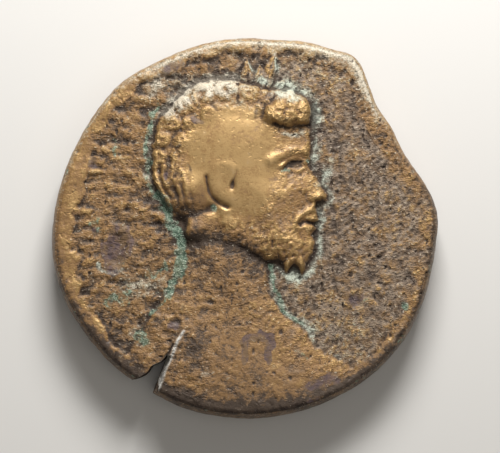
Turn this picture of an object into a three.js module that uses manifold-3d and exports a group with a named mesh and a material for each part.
// A worn, corroded Roman bronze coin of sestertius size: one struck flan, lying on its reverse.
// The obverse, with the laurelled and bearded bust, faces +Z, and the top of the head points to +Y.
// Both faces are height maps over the flan. Each is cut into triangles that get smaller only where it bends.
// Lengths are in millimetres and angles in degrees, anticlockwise from +X.
import * as THREE from "three";
import { mergeVertices } from "three/addons/utils/BufferGeometryUtils.js";
import Module from "manifold-3d";

// Flan, measured from the plane that it lies on.
const FLAN_RADIUS = 15.2;
const OBVERSE_FIELD = 3.75;
const REVERSE_FIELD = 0.34;
const EDGE_ROUND = 0.5; // how far the edge bulges past both faces
const SHOULDER_DROP = 0.3; // how far each face falls towards the edge
const SHOULDER_WIDTH = 0.7;
const EDGE_RINGS = [0.8, 0.5, 0.2]; // shares of the thickness
const EDGE_SECTORS = 96;

// Where hammering and wear moved the outline: [angle, half width, how far out].
const FLAN_UNEVENNESS = [
  [4, 9, 0.3],
  [27, 13, -1.05],
  [42, 6, -0.45],
  [57, 6.5, 0.95],
  [68, 11, 0.75],
  [93, 15, 0.22],
  [130, 10, 0.28],
  [193, 20, 0.42],
  [240, 8, -0.1],
  [321, 26, 0.34],
];

// The crack runs in from the edge at the lower left, and its right-hand wall is broken back at the top.
const CRACK_TIP = [-6.2, -10.2];
const CRACK_LEFT = [[-6.7, -10.75], [-7.4, -11.1], [-7.9, -11.7], [-8.7, -12.1], [-9.8, -12.35]];
const CRACK_OUTSIDE = [[-10.5, -15.5], [-8.3, -16.5]];
const CRACK_RIGHT = [[-7.45, -13.4], [-6.95, -12], [-6.6, -11.1]];
const CRACK_LIP = { from: 2.7, to: 4.1, out: 0.46 }; // between two heights, the wall leans this far out
const CRACK_LAYERS = 12;
const HAIRLINE = { path: [[-6.25, -10.3], [-5.95, -9.8], [-5.7, -9.3]], width: 0.18, height: -0.25 };

// Rims, which are widest at the left, and the ring of strokes where the inscription was.
const RIM_WIDTH = 1.25;
const RIM_WIDEST = [180, 36, 0.6]; // angle, half width, how much wider
const RIM_LOWEST = [12, 42, 0.8]; // angle, half width, share of its height lost
const RIM_HEIGHT = 0.32;
const RIM_SLOPE = 0.35;
const REVERSE_RIM = 1.3; // how much higher the rim of the reverse is
const STROKE_CENTRE = [-0.5, 0.6];
const STROKE_RADIUS = 12.5;
const STROKE_LENGTH = 1.5;
const STROKE_END = 0.2;
const STROKE_WIDTH = 0.3;
const STROKE_PITCH = 4.8; // degrees
const OBVERSE_STROKES = [{ from: 100, to: 148, height: 0.16 }, { from: 148, to: 215, height: 0.26 }]
  .concat({ from: 324, to: 353, height: 0.16 });
const REVERSE_STROKES = [{ from: 20, to: 68, height: 0.2 }, { from: 120, to: 172, height: 0.2 }];

// The head, by the canon of thirds: hair line, brow, nose and chin are a unit apart.
const CROWN = 12.1;
const CHIN = -2.2;
const UNIT = (CROWN - CHIN) / 3.5;
const BROW = CHIN + 2 * UNIT;
const EYE = (CROWN + CHIN) / 2;
const NOSE = CHIN + UNIT;
const MOUTH = CHIN + 0.62 * UNIT;
const FOREHEAD = 5.35;

// How high each form stands: the step at its outline, then the swell, over the width named third.
const HEAD_RISE = [0.34, 0.93, 6];
const FORELOCK_RISE = [0.24, 0.26, 1.1];
const NECK_RISE = [0.12, 0.3, 3.2];
const BUST_RISE = [0.16, 0.5, 6];
const GOWN_RISE = [0.34, 0.1, 1.6];
const STEP_WIDTH = 0.5;
const BLEND = 0.12; // how softly one form runs into the next

// Handling has rubbed the side of the head smooth, inside this oval.
const WORN_AT = [-1, 5];
const WORN_RADII = [4, 4.9];
const WORN_FADE = [0.75, 1.3]; // shares of the radii between which the carving fades out

// Grids of the two faces, and how far a triangle may lie from the true surface.
const GRID_TURN = 20; // so that the corners of the grids meet the edge where it bulges
const OBVERSE_LEVEL = 7;
const OBVERSE_TOLERANCE = 0.046;
const REVERSE_LEVEL = 6;
const REVERSE_TOLERANCE = 0.08;

const CENTRE = new THREE.Vector2(0, 0);
const SAME_POINT = 1e-4; // corners nearer than this are one
const BRONZE = new THREE.MeshStandardMaterial({ color: 0x8a6a42, roughness: 0.55, metalness: 0.45 });

// ---------------------------------------------------------------- outlines

const PROFILE = [
  [FOREHEAD - 0.1, 8.2],
  [FOREHEAD + 0.1, BROW + 0.7],
  [FOREHEAD - 0.05, BROW - 0.5],
  [FOREHEAD - 0.05, EYE],
  [FOREHEAD + 0.7, NOSE + 1.9],
  [FOREHEAD + 1.35, NOSE + 0.45],
  [FOREHEAD + 0.95, NOSE + 0.03],
  [FOREHEAD + 0.42, NOSE - 0.15],
  [FOREHEAD + 0.6, MOUTH + 0.4],
  [FOREHEAD + 0.3, MOUTH],
  [FOREHEAD + 0.42, MOUTH - 0.4],
  [FOREHEAD + 0.12, MOUTH - 0.9],
  [FOREHEAD + 0.3, CHIN + 0.9],
  [FOREHEAD + 0.1, CHIN - 0.1],
  [FOREHEAD - 0.85, CHIN - 1.7],
];
const BEARD_EDGE = [[3.9, -3.15], [3.3, -3.75], [2.7, -2.95], [1.4, -2.85], [0.2, -2.1], [-1.4, -1.5]];
const NAPE_EDGE = [[-3.1, -1.5], [-4.4, -1.2], [-5.1, -0.5], [-4.95, 0.4], [-5.9, 0.8]];
const HAIR_EDGE = [
  [-6.6, 1.9],
  [-7.4, 3.5],
  [-7.7, 5.2],
  [-7.4, 7.4],
  [-6.5, 9.35],
  [-5.1, 10.9],
  [-3.9, 11.65],
  [-2.3, CROWN],
  [-0.4, CROWN - 0.2],
  [1.6, 11.5],
  [3.9, 11.1],
  [5.1, 10.3],
  [5.6, 9.2],
];
const HEAD_OUTLINE = rounded([...PROFILE, ...BEARD_EDGE, ...NAPE_EDGE, ...HAIR_EDGE], true);
const FORELOCK_OUTLINE = rounded(
  [[1.3, 8.6], [2.6, 8], [4.2, 7.9], [5.4, 8.1], [5.7, 9.2], [5.1, 10.4], [3.6, 11.1], [2.2, 10.6]],
  true,
);
const BEARD_OUTLINE = rounded(
  [[-2.2, 1], [-1.2, 2], [-0.3, 1], [1, 0.25], [3.3, 0.8], [4.7, 1.5], [5.6, 1.5], [5.3, 0.3]]
    .concat([[5.7, -1], [5.2, -2.9], [4.2, -3.8], [3.2, -3.6], [1.2, -2.9], [-1.6, -1.2]]),
  true,
);
const NECK_OUTLINE = rounded(
  [[1.9, -1.5], [2, -3.6], [2.1, -5.4], [3.1, -7], [1, -9.5], [-5, -9.5], [-7.2, -6.2], [-5.7, -4.6]]
    .concat([[-4.95, -3.2], [-4.9, -1.6], [-4.5, 0], [0, 1]]),
  true,
);
const BUST_OUTLINE = rounded(
  [[2.2, -6], [3.4, -7], [4.7, -8], [5.6, -9.2], [7.2, -10.2], [8.8, -11.1], [10.5, -13.5], [5, -17.5]]
    .concat([[-4, -18], [-11, -14], [-9.4, -9.8], [-8.3, -8], [-7.3, -6.3], [-5.8, -4.9], [-2, -5.2]]),
  true,
);

// A smooth path through the points, as pairs of numbers.
function rounded(points, closed = false, steps = 5) {
  const corners = points.map(([x, y]) => new THREE.Vector3(x, y, 0));
  const curve = new THREE.CatmullRomCurve3(corners, closed, "catmullrom");
  const path = curve.getPoints(points.length * steps).map((p) => [p.x, p.y]);
  return closed ? path.slice(0, -1) : path;
}

// ---------------------------------------------------------------- height functions

const clamp01 = (t) => Math.min(1, Math.max(0, t));

function smoothstep(from, to, value) {
  const t = clamp01((value - from) / (to - from));
  return t * t * (3 - 2 * t);
}

function smoothMax(a, b, blend) {
  const t = clamp01(0.5 + (0.5 * (a - b)) / blend);
  return b * (1 - t) + a * t + blend * t * (1 - t);
}

// How far (x, y) is from the nearest point of a path.
function distanceTo(x, y, path, closed = false) {
  const spans = closed ? path.length : path.length - 1;
  let away = Infinity;
  for (let i = 0; i < spans; i++) {
    const [ax, ay] = path[i];
    const [bx, by] = path[(i + 1) % path.length];
    const [dx, dy] = [bx - ax, by - ay];
    const t = clamp01(((x - ax) * dx + (y - ay) * dy) / (dx * dx + dy * dy));
    away = Math.min(away, Math.hypot(x - ax - t * dx, y - ay - t * dy));
  }
  return away;
}

// How deep (x, y) lies inside a closed outline: negative outside it.
function depthInside(x, y, outline) {
  let inside = false;
  outline.forEach(([ax, ay], i) => {
    const [bx, by] = outline[(i + 1) % outline.length];
    if (ay > y !== by > y && x < ((y - ay) * (bx - ax)) / (by - ay) + ax) inside = !inside;
  });
  const away = distanceTo(x, y, outline, true);
  return inside ? away : -away;
}

// A form with a steep side at its outline and a back that swells over `width`.
function raised(depth, [step, swell, width]) {
  const t = clamp01(depth / width);
  return step * smoothstep(0, STEP_WIDTH, depth) + swell * t * (2 - t);
}

// A soft ridge along a path, or a groove if its height is negative.
const ridge = (x, y, { path, width, height }) => height * Math.exp(-((distanceTo(x, y, path) / width) ** 2));

// Coordinates along and across a direction, from a point.
function turned(x, y, [cx, cy], turn) {
  const [c, s] = [Math.cos(THREE.MathUtils.degToRad(turn)), Math.sin(THREE.MathUtils.degToRad(turn))];
  return [(x - cx) * c + (y - cy) * s, (y - cy) * c - (x - cx) * s];
}

// A soft round rise, or a hollow if its height is negative.
function mound(x, y, { at, radii, height }) {
  return height * Math.exp(-(((x - at[0]) / radii[0]) ** 2) - ((y - at[1]) / radii[1]) ** 2);
}

// A worn snail curl: a low disc with a round shoulder.
function curl(x, y, { at, radius, height }) {
  const dome = 1.5 * (1 - ((x - at[0]) ** 2 + (y - at[1]) ** 2) / radius ** 2);
  return height * clamp01(dome) ** 0.7;
}

// A pointed leaf that starts at its stem.
function leaf(x, y, { at, turn, length, width, height }) {
  const [along, across] = turned(x, y, at, turn);
  if (along <= 0 || along >= length) return 0;
  const half = 0.5 * width * Math.sin((Math.PI * along) / length) ** 0.75;
  return height * Math.sqrt(Math.max(0, 1 - (across / half) ** 2));
}

const highest = (x, y, form, list) => list.reduce((most, item) => Math.max(most, form(x, y, item)), 0);

const total = (x, y, form, list) => list.reduce((sum, item) => sum + form(x, y, item), 0);

// ---------------------------------------------------------------- hair, wreath and beard

// Snail curls over the crown: [x, y, radius].
const CURLS = [
  [-6.55, 7, 0.72],
  [-5.75, 8.35, 0.76],
  [-4.9, 9.7, 0.84],
  [-3.4, 10.6, 1],
  [-1.5, 10.95, 1.08],
  [0.35, 10.75, 0.92],
  [1.6, 9.8, 0.75],
  [-5.1, 6.85, 0.72],
  [-4.35, 8.2, 0.78],
  [-2.85, 9, 0.74],
  [-1.35, 9.35, 0.72],
  [0.2, 9.2, 0.7],
  [2.5, 10.5, 0.62],
  [-6.85, 5.65, 0.66],
  [-5.45, 5.5, 0.62],
].map(([cx, cy, radius]) => ({ at: [cx, cy], radius, height: 0.34 * Math.sqrt(radius) }));

// Locks combed down the back of the head.
const LOCKS = Array.from({ length: 5 }, (_, k) => ({
  path: rounded([
    [-7.3 + 0.7 * k, 5 - 0.12 * k],
    [-7.1 + 0.72 * k, 4],
    [-6.75 + 0.68 * k, 3],
    [-6.2 + 0.6 * k, 1.9],
  ]),
  width: 0.24,
  height: 0.28,
}));

// The forelock is a roll of small curls that stands clear of the brow.
const FORELOCK_CURLS = [
  [4.75, 9.5],
  [4.6, 8.6],
  [3.75, 9.95],
  [3.6, 8.9],
  [2.75, 9.7],
  [2.55, 8.75],
  [1.95, 9.2],
].map((at) => ({ at, radius: 0.56, height: 0.16 }));
const FORELOCK_ROUND = 0.3; // how far in from the outline its curls have their full height
const UNDER_FORELOCK = { path: rounded([[2.5, 7.95], [3.8, 7.75], [5.2, 7.85]]), width: 0.28, height: -0.3 };

// The wreath runs from over the forelock to the nape, in pairs of leaves, and its tips stand over the crown.
const WREATH_LINE = rounded([
  [3, 10.2],
  [1.4, 9.9],
  [-0.6, 9.2],
  [-2.6, 8],
  [-4.4, 6.2],
  [-5.6, 4.2],
  [-6.3, 2.4],
]);
const WREATH_PITCH = 1.2;
const LEAF_SPLAY = 24;
const WREATH_LEAF = { length: 2.3, width: 0.95, height: 0.21 };
const WREATH_LEAVES = spaced(WREATH_LINE, WREATH_PITCH).flatMap(({ at, turn }) =>
  [-LEAF_SPLAY, LEAF_SPLAY].map((splay) => ({ ...WREATH_LEAF, at, turn: turn + splay })),
);
const LEAF_TIPS = [
  { at: [0.2, 10.4], turn: 91, length: 3.1, width: 1.15, height: 0.34 },
  { at: [0.9, 10.5], turn: 84, length: 2.6, width: 1.2, height: 0.34 },
  { at: [1.5, 10.5], turn: 78, length: 3.4, width: 1.2, height: 0.34 },
  { at: [2, 10.6], turn: 48, length: 1.7, width: 0.9, height: 0.34 },
];
const RIBBON = {
  path: rounded([[-6.1, 0.5], [-6.8, 0.8], [-7.6, 1.4], [-8.4, 1.5]]),
  width: 0.34,
  height: 0.32,
};

// Low on the head: a roll of hair, the groove that the ribbon makes under it, and the hair on the neck.
const HAIR_ROLL = { at: [-4.5, 3.1], radii: [1.3, 1.2], height: 0.34 };
const RIBBON_GROOVE = {
  path: rounded([[-6.1, 1.3], [-5, 0.9], [-4, 1], [-3, 1.4]]),
  width: 0.34,
  height: -0.2,
};
const NAPE_LOBE = { at: [-4.4, 0.1], radii: [1.2, 0.8], height: 0.36 };

// The beard is rows of curls, with every second row half a curl along.
const BEARD_START = [-2.2, 2.6];
const BEARD_PITCH = [0.88, 0.8];
const BEARD_ROWS = 9;
const BEARD_COLUMNS = 10;
const BEARD_FADE = 1.6; // how deep in its outline the beard has its full height
const BEARD_CURLS = Array.from({ length: BEARD_ROWS * BEARD_COLUMNS }, (_, k) => {
  const row = Math.floor(k / BEARD_COLUMNS);
  const column = (k % BEARD_COLUMNS) + 0.5 * (row % 2);
  const at = [BEARD_START[0] + BEARD_PITCH[0] * column, BEARD_START[1] - BEARD_PITCH[1] * row];
  return { at, radius: 0.62, height: 0.26 };
}).filter(({ at }) => depthInside(...at, BEARD_OUTLINE) > 0);
const BEARD_POINTS = [
  { at: [4.5, -2.2], turn: -104, length: 1.9, width: 0.8, height: 0.26 },
  { at: [3.9, -2.1], turn: -117, length: 1.9, width: 0.8, height: 0.24 },
];
const MOUSTACHE = {
  path: rounded([[5.6, NOSE - 0.35], [5, NOSE - 0.55], [4.3, MOUTH + 0.25], [3.9, MOUTH - 0.4]]),
  width: 0.28,
  height: 0.24,
};

// Points along a path at equal steps. Each turn looks back along the path.
function spaced(path, pitch) {
  const lengths = [0];
  for (let i = 1; i < path.length; i++)
    lengths.push(lengths[i - 1] + Math.hypot(path[i][0] - path[i - 1][0], path[i][1] - path[i - 1][1]));
  const count = Math.round(lengths.at(-1) / pitch);
  return Array.from({ length: count }, (_, k) => {
    const want = ((k + 0.5) / count) * lengths.at(-1);
    const i = Math.max(1, lengths.findIndex((l) => l >= want));
    const t = (want - lengths[i - 1]) / (lengths[i] - lengths[i - 1]);
    const [dx, dy] = [path[i][0] - path[i - 1][0], path[i][1] - path[i - 1][1]];
    return {
      at: [path[i - 1][0] + t * dx, path[i - 1][1] + t * dy],
      turn: THREE.MathUtils.radToDeg(Math.atan2(-dy, -dx)),
    };
  });
}

// How much of the carving is left: none inside the worn oval.
const kept = (x, y) =>
  smoothstep(...WORN_FADE, Math.hypot((x - WORN_AT[0]) / WORN_RADII[0], (y - WORN_AT[1]) / WORN_RADII[1]));

function hair(x, y) {
  const wreath = highest(x, y, leaf, WREATH_LEAVES);
  return Math.max(highest(x, y, curl, CURLS), highest(x, y, ridge, LOCKS), wreath) * kept(x, y);
}

function forelock(x, y) {
  const inside = depthInside(x, y, FORELOCK_OUTLINE);
  const curls = highest(x, y, curl, FORELOCK_CURLS) * smoothstep(0, FORELOCK_ROUND, inside);
  return raised(inside, FORELOCK_RISE) + curls + ridge(x, y, UNDER_FORELOCK);
}

const nape = (x, y) => total(x, y, mound, [HAIR_ROLL, NAPE_LOBE]) + ridge(x, y, RIBBON_GROOVE);

function beard(x, y) {
  const spread = smoothstep(0, BEARD_FADE, depthInside(x, y, BEARD_OUTLINE));
  const curls = spread * highest(x, y, curl, BEARD_CURLS);
  return Math.max(curls, highest(x, y, leaf, BEARD_POINTS), ridge(x, y, MOUSTACHE));
}

// ---------------------------------------------------------------- face and ear

const FACE_RIDGES = Object.values({
  brow: {
    path: rounded([[FOREHEAD - 0.1, BROW + 0.1], [4.2, BROW + 0.12], [3, BROW - 0.25], [2.1, BROW - 0.75]]),
    width: 0.45,
    height: 0.2,
  },
  upperLid: {
    path: rounded([[4.75, EYE + 0.12], [4.1, EYE + 0.52], [3.3, EYE + 0.3], [2.75, EYE - 0.15]]),
    width: 0.16,
    height: 0.12,
  },
  mouth: {
    path: rounded([[FOREHEAD + 0.4, MOUTH], [4.7, MOUTH - 0.02], [4.35, MOUTH - 0.12]]),
    width: 0.15,
    height: -0.18,
  },
});
const FACE_MOUNDS = Object.values({
  socket: { at: [4.05, EYE], radii: [1, 0.66], height: -0.3 },
  eyeball: { at: [4, EYE], radii: [0.52, 0.42], height: 0.22 },
  cheek: { at: [2.9, NOSE + 0.5], radii: [1.6, 1.3], height: 0.1 },
  nostril: { at: [5.55, NOSE + 0.42], radii: [0.5, 0.36], height: 0.18 },
  upperLip: { at: [FOREHEAD + 0.1, MOUTH + 0.3], radii: [0.65, 0.24], height: 0.14 },
  lowerLip: { at: [FOREHEAD, MOUTH - 0.35], radii: [0.5, 0.24], height: 0.12 },
});
const EAR_RIDGES = Object.values({
  rim: {
    path: rounded([[-0.9, 4.3], [-1.3, 4.9], [-2.2, 4.8], [-2.5, 3.8], [-2.1, 2.9], [-1.3, 2.4]]),
    width: 0.4,
    height: 0.05,
  },
  groove: {
    path: rounded([[-3.15, 3.9], [-2.95, 3.1], [-2.6, 2.4], [-2, 1.9], [-1.4, 1.55]]),
    width: 0.2,
    height: -0.15,
  },
});
const EAR_HOLLOWS = Object.values({
  canal: { at: [-1, 3.3], radii: [0.24, 0.3], height: -0.24 },
  belowLobe: { at: [-2.5, 1.5], radii: [0.45, 0.6], height: -0.22 },
});

const face = (x, y) => total(x, y, ridge, FACE_RIDGES) + total(x, y, mound, FACE_MOUNDS);

const ear = (x, y) => total(x, y, ridge, EAR_RIDGES) + total(x, y, mound, EAR_HOLLOWS);

// ---------------------------------------------------------------- bust

const NECK_MUSCLE = { path: rounded([[-3.4, -0.6], [-1.6, -3.4], [1, -6.4]]), width: 0.9, height: 0.12 };

// Folds of the cloak, which run from the far shoulder down to the near one.
const FOLDS = Array.from({ length: 4 }, (_, k) => ({
  path: rounded([
    [-7.6 + 1.3 * k, -6.6 - 0.2 * k],
    [-6.6 + 1.5 * k, -9.2 - 0.2 * k],
    [-3.4 + 1.6 * k, -11.9 + 0.1 * k],
    [1.2 + 1.5 * k, -13.9 + 0.8 * k],
  ]),
  width: 0.55,
  height: 0.08,
}));

function bust(x, y) {
  const inNeck = depthInside(x, y, NECK_OUTLINE);
  const inBust = depthInside(x, y, BUST_OUTLINE);
  const neck = raised(inNeck, NECK_RISE) + smoothstep(0, STEP_WIDTH, inNeck) * ridge(x, y, NECK_MUSCLE);
  const cloak = raised(inBust, BUST_RISE) + smoothstep(0, STEP_WIDTH, inBust) * highest(x, y, ridge, FOLDS);
  return smoothMax(neck, cloak, BLEND);
}

function portrait(x, y) {
  const inHead = depthInside(x, y, HEAD_OUTLINE);
  const carving = Math.max(hair(x, y), forelock(x, y)) + nape(x, y) + face(x, y) + ear(x, y) + beard(x, y);
  const head = raised(inHead, HEAD_RISE) + smoothstep(0, STEP_WIDTH, inHead) * carving;
  return smoothMax(bust(x, y), Math.max(head, highest(x, y, leaf, LEAF_TIPS), ridge(x, y, RIBBON)), BLEND);
}

// ---------------------------------------------------------------- the reverse's figure, as seen from below

// A draped woman, worn flat. She holds out a dish in one hand, and leans a staff on the other.
const GROUND_LINE = -8.3;
const GOWN_OUTLINE = rounded(
  [[0, 6], [1.35, 5.7], [1.6, 4.7], [1.05, 3], [1.45, 1.2], [1.75, -2], [2.1, -5.5], [2.5, -7.9]]
    .concat([[0.4, -7.7], [-1.9, -7.9], [-1.75, -5], [-1.7, -2], [-1.5, 1.2], [-1.05, 3], [-1.55, 4.7]])
    .concat([[-1.3, 5.7]]),
  true,
);
const FIGURE_DISCS = [
  { at: [0, 7.55], radius: 0.95, height: 0.42 },
  { at: [0.85, 7.85], radius: 0.5, height: 0.26 },
  { at: [-4.5, 4.3], radius: 0.75, height: 0.3 },
  { at: [-0.9, GROUND_LINE + 0.25], radius: 0.5, height: 0.28 },
  { at: [1.3, GROUND_LINE + 0.25], radius: 0.5, height: 0.28 },
];
const FIGURE_RIDGES = [
  { path: [[0, 6.8], [0, 6]], width: 0.35, height: 0.3 },
  { path: rounded([[-1.3, 5.3], [-2.3, 3.7], [-3.1, 3.6], [-4.1, 4.2]]), width: 0.38, height: 0.34 },
  { path: rounded([[1.35, 5.3], [2.2, 4.1], [2.7, 4.2], [3.3, 5]]), width: 0.38, height: 0.34 },
  { path: rounded([[2.1, 4], [2.5, 1.6], [2.35, -0.6], [2.6, -3]]), width: 0.34, height: 0.28 },
  { path: [[3.45, 8.6], [3.45, GROUND_LINE]], width: 0.26, height: 0.3 },
  { path: [[-6, GROUND_LINE], [6, GROUND_LINE]], width: 0.25, height: 0.22 },
];

function figure(x, y) {
  const gown = raised(depthInside(x, y, GOWN_OUTLINE), GOWN_RISE);
  return Math.max(gown, highest(x, y, curl, FIGURE_DISCS), highest(x, y, ridge, FIGURE_RIDGES));
}

// ---------------------------------------------------------------- flan, rims and strokes

const angleOf = (x, y) => THREE.MathUtils.radToDeg(Math.atan2(y, x));

const turnBetween = (angle, from) => THREE.MathUtils.euclideanModulo(angle - from + 180, 360) - 180;

const flanRadius = (angle) =>
  FLAN_UNEVENNESS.reduce(
    (radius, [at, width, out]) => radius + out * Math.exp(-((turnBetween(angle, at) / width) ** 2)),
    FLAN_RADIUS,
  );

const fromEdge = (x, y) => flanRadius(angleOf(x, y)) - Math.hypot(x, y);

// A flat band round the edge, about as wide as wear and the off-centre striking left it.
function rim(x, y, edge) {
  const near = ([at, half, much]) => much * Math.exp(-((turnBetween(angleOf(x, y), at) / half) ** 2));
  const width = RIM_WIDTH + near(RIM_WIDEST);
  return RIM_HEIGHT * (1 - near(RIM_LOWEST)) * (1 - smoothstep(width - RIM_SLOPE, width + RIM_SLOPE, edge));
}

const shoulder = (edge) => SHOULDER_DROP * (1 - smoothstep(0, SHOULDER_WIDTH, edge));

// Short separate bars that point to the middle of the ring, between two angles.
function strokes(x, y, { from, to, height }) {
  const [dx, dy] = [x - STROKE_CENTRE[0], y - STROKE_CENTRE[1]];
  const angle = THREE.MathUtils.euclideanModulo(angleOf(dx, dy), 360);
  if (angle < from || angle > to) return 0;
  const off = THREE.MathUtils.euclideanModulo(angle - from, STROKE_PITCH) - STROKE_PITCH / 2;
  const across = THREE.MathUtils.degToRad(off) * STROKE_RADIUS;
  const pastEnd = Math.abs(Math.hypot(dx, dy) - STROKE_RADIUS) - STROKE_LENGTH / 2;
  const side = Math.exp(-((across / STROKE_WIDTH) ** 2));
  return height * side * (1 - smoothstep(-STROKE_END, STROKE_END, pastEnd));
}

function obverse(x, y) {
  const edge = fromEdge(x, y);
  const border = Math.max(rim(x, y, edge), highest(x, y, strokes, OBVERSE_STROKES));
  return OBVERSE_FIELD + smoothMax(portrait(x, y), border, BLEND) - shoulder(edge) + ridge(x, y, HAIRLINE);
}

function reverse(x, y) {
  const edge = fromEdge(x, y);
  const border = Math.max(REVERSE_RIM * rim(x, y, edge), highest(x, y, strokes, REVERSE_STROKES));
  return REVERSE_FIELD - Math.min(REVERSE_FIELD, Math.max(figure(x, y), border)) + shoulder(edge);
}

// ---------------------------------------------------------------- triangles

// A place in the unit square, moved to the flan's face. Grid lines are nearly straight in the
// middle, and follow the outline near it.
function onFace(u, v) {
  const [a, b] = [2 * u - 1, 2 * v - 1];
  const wide = Math.abs(a) > Math.abs(b);
  const outer = wide ? a : b;
  if (outer === 0) return [0, 0];
  const ringTurn = wide ? (Math.PI / 4) * (b / a) : Math.PI / 2 - (Math.PI / 4) * (a / b);
  const ring = new THREE.Vector2(outer * Math.cos(ringTurn), outer * Math.sin(ringTurn));
  const place = new THREE.Vector2(a * Math.sqrt(1 - b ** 2 / 2), b * Math.sqrt(1 - a ** 2 / 2));
  place.lerp(ring, outer ** 2).rotateAround(CENTRE, THREE.MathUtils.degToRad(GRID_TURN));
  return place.multiplyScalar(flanRadius(angleOf(place.x, place.y)) - EDGE_ROUND).toArray();
}

// One face as triangles of 3-D points. Right triangles are halved at the middle of their long
// side wherever the surface there is further than the tolerance from it.
function faceTriangles(height, level, tolerance) {
  const size = 2 ** level;
  const key = ([i, j]) => j * (size + 1) + i;
  const middle = (a, b) => [(a[0] + b[0]) / 2, (a[1] + b[1]) / 2];
  const points = [];
  for (let j = 0; j <= size; j++)
    for (let i = 0; i <= size; i++) {
      const [x, y] = onFace(i / size, j / size);
      points.push(new THREE.Vector3(x, y, height(x, y)));
    }

  const halves = ([a, b, c]) => [[c, a, middle(a, b)], [b, c, middle(a, b)]];
  const levels = [[[[0, 0], [size, size], [size, 0]], [[size, size], [0, 0], [0, size]]]];
  for (let n = 1; n < 2 * level; n++) levels.push(levels.at(-1).flatMap(halves));

  // How far the surface, or the outline of the flan, lies from the middle of a side.
  const flat = new THREE.Vector3();
  const miss = (a, b, m) => {
    flat.addVectors(points[a], points[b]).multiplyScalar(0.5);
    const onOutline = [points[a], points[b]].every((p) => fromEdge(p.x, p.y) < EDGE_ROUND + SAME_POINT);
    return onOutline ? flat.distanceTo(points[m]) : Math.abs(height(flat.x, flat.y) - flat.z);
  };

  // From the smallest triangles up, each middle point keeps the worst error under it.
  const bend = new Float32Array(points.length);
  for (const triangles of levels.toReversed())
    for (const [a, b, c] of triangles) {
      const m = key(middle(a, b));
      const below = triangles === levels.at(-1) ? [] : [bend[key(middle(c, a))], bend[key(middle(b, c))]];
      bend[m] = Math.max(bend[m] || miss(key(a), key(b), m), ...below);
    }

  const made = [];
  const split = ([a, b, c], depth) => {
    if (depth < 2 * level && bend[key(middle(a, b))] > tolerance)
      for (const half of halves([a, b, c])) split(half, depth + 1);
    else made.push([points[key(a)], points[key(b)], points[key(c)]]);
  };
  for (const whole of levels[0]) split(whole, 0);
  return made;
}

// The points round the outside of a face, in order of angle.
function boundary(triangles) {
  const seen = new Set();
  const edge = triangles.flat().filter((p) => {
    const outermost = fromEdge(p.x, p.y) < EDGE_ROUND + SAME_POINT;
    const fresh = !seen.has(p);
    seen.add(p);
    return outermost && fresh;
  });
  return edge.sort((p, q) => Math.atan2(p.y, p.x) - Math.atan2(q.y, q.x));
}

// A level ring round the edge, at a share of the thickness.
function edgeRing(share) {
  const bulge = Math.sqrt(1 - (2 * share - 1) ** 2);
  const [low, high] = [SHOULDER_DROP, OBVERSE_FIELD];
  return Array.from({ length: EDGE_SECTORS }, (_, k) => {
    const turn = -Math.PI + (2 * Math.PI * (k + 0.5)) / EDGE_SECTORS;
    const radius = flanRadius(THREE.MathUtils.radToDeg(turn)) - EDGE_ROUND * (1 - bulge);
    return new THREE.Vector3(radius * Math.cos(turn), radius * Math.sin(turn), low + share * (high - low));
  });
}

// Triangles between an upper and a lower loop, which may have different numbers of points.
function stitched(upper, lower) {
  const turn = (loop, k) => {
    const p = loop[k % loop.length];
    return Math.atan2(p.y, p.x) + 2 * Math.PI * Math.floor(k / loop.length);
  };
  const made = [];
  let [i, j] = [0, 0];
  while (i < upper.length || j < lower.length) {
    const [p, q] = [upper[i % upper.length], lower[j % lower.length]];
    const alongUpper = j >= lower.length || (i < upper.length && turn(upper, i + 1) < turn(lower, j + 1));
    made.push([p, q, alongUpper ? upper[(i + 1) % upper.length] : lower[(j + 1) % lower.length]]);
    if (alongUpper) i++;
    else j++;
  }
  return made;
}

function flanTriangles() {
  const top = faceTriangles(obverse, OBVERSE_LEVEL, OBVERSE_TOLERANCE);
  const bottom = faceTriangles(reverse, REVERSE_LEVEL, REVERSE_TOLERANCE);
  const loops = [boundary(top), ...EDGE_RINGS.map(edgeRing), boundary(bottom)];
  const wall = loops.slice(1).flatMap((loop, k) => stitched(loops[k], loop));
  const facing = (triangles, up) =>
    triangles.map(([a, b, c]) => {
      const turns = (b.x - a.x) * (c.y - a.y) - (b.y - a.y) * (c.x - a.x);
      return turns > 0 === up ? [a, b, c] : [a, c, b];
    });
  return [...facing(top, true), ...facing(bottom, false), ...wall];
}

// ---------------------------------------------------------------- solids

const wasm = await Module();
wasm.setup();

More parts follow.
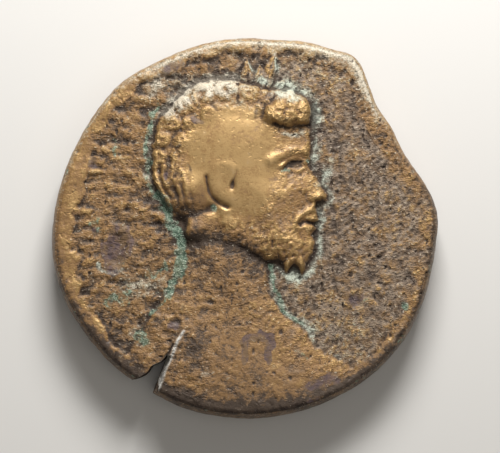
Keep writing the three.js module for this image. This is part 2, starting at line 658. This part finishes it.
function solid(geometry) {
  const bare = geometry.clone();
  for (const name of ["normal", "uv"]) bare.deleteAttribute(name);
  const merged = mergeVertices(bare, SAME_POINT);
  return new wasm.Manifold(new wasm.Mesh({
    numProp: 3,
    vertProperties: new Float32Array(merged.attributes.position.array),
    triVerts: new Uint32Array(merged.index.array),
  }));
}

function geometryOf(manifold) {
  const { vertProperties, triVerts } = manifold.getMesh();
  const geometry = new THREE.BufferGeometry();
  geometry.setAttribute("position", new THREE.BufferAttribute(vertProperties, 3));
  geometry.setIndex(new THREE.BufferAttribute(triVerts, 1));
  return geometry;
}

// The wedge that the crack leaves open. It starts below the flan and ends above it, and its
// right-hand wall leans out near the top.
function crackWedge() {
  const corners = [CRACK_TIP, ...CRACK_LEFT, ...CRACK_OUTSIDE, ...CRACK_RIGHT];
  const outline = new THREE.Shape(corners.map(([x, y]) => new THREE.Vector2(x, y)));
  const [bottom, top] = [-1, OBVERSE_FIELD + 2];
  const wedge = new THREE.ExtrudeGeometry(outline, {
    depth: top - bottom,
    steps: CRACK_LAYERS,
    bevelEnabled: false,
  });
  wedge.translate(0, 0, bottom);
  const place = wedge.attributes.position;
  for (let i = 0; i < place.count; i++) {
    const [px, py] = [place.getX(i), place.getY(i)];
    const onRight = CRACK_RIGHT.some(([x, y]) => Math.hypot(px - x, py - y) < SAME_POINT);
    const lean = CRACK_LIP.out * smoothstep(CRACK_LIP.from, CRACK_LIP.to, place.getZ(i));
    if (onRight) place.setX(i, px + lean);
  }
  return wedge;
}

function coin() {
  const flan = new THREE.BufferGeometry().setFromPoints(flanTriangles().flat());
  const geometry = geometryOf(solid(flan).subtract(solid(crackWedge())));
  geometry.computeBoundingBox();
  const { min, max } = geometry.boundingBox;
  geometry.translate(-(min.x + max.x) / 2, -(min.y + max.y) / 2, -min.z);
  geometry.computeVertexNormals();
  const mesh = new THREE.Mesh(geometry, BRONZE);
  mesh.name = "coin";
  return mesh;
}

const part = new THREE.Group();
part.add(coin());

export default part;
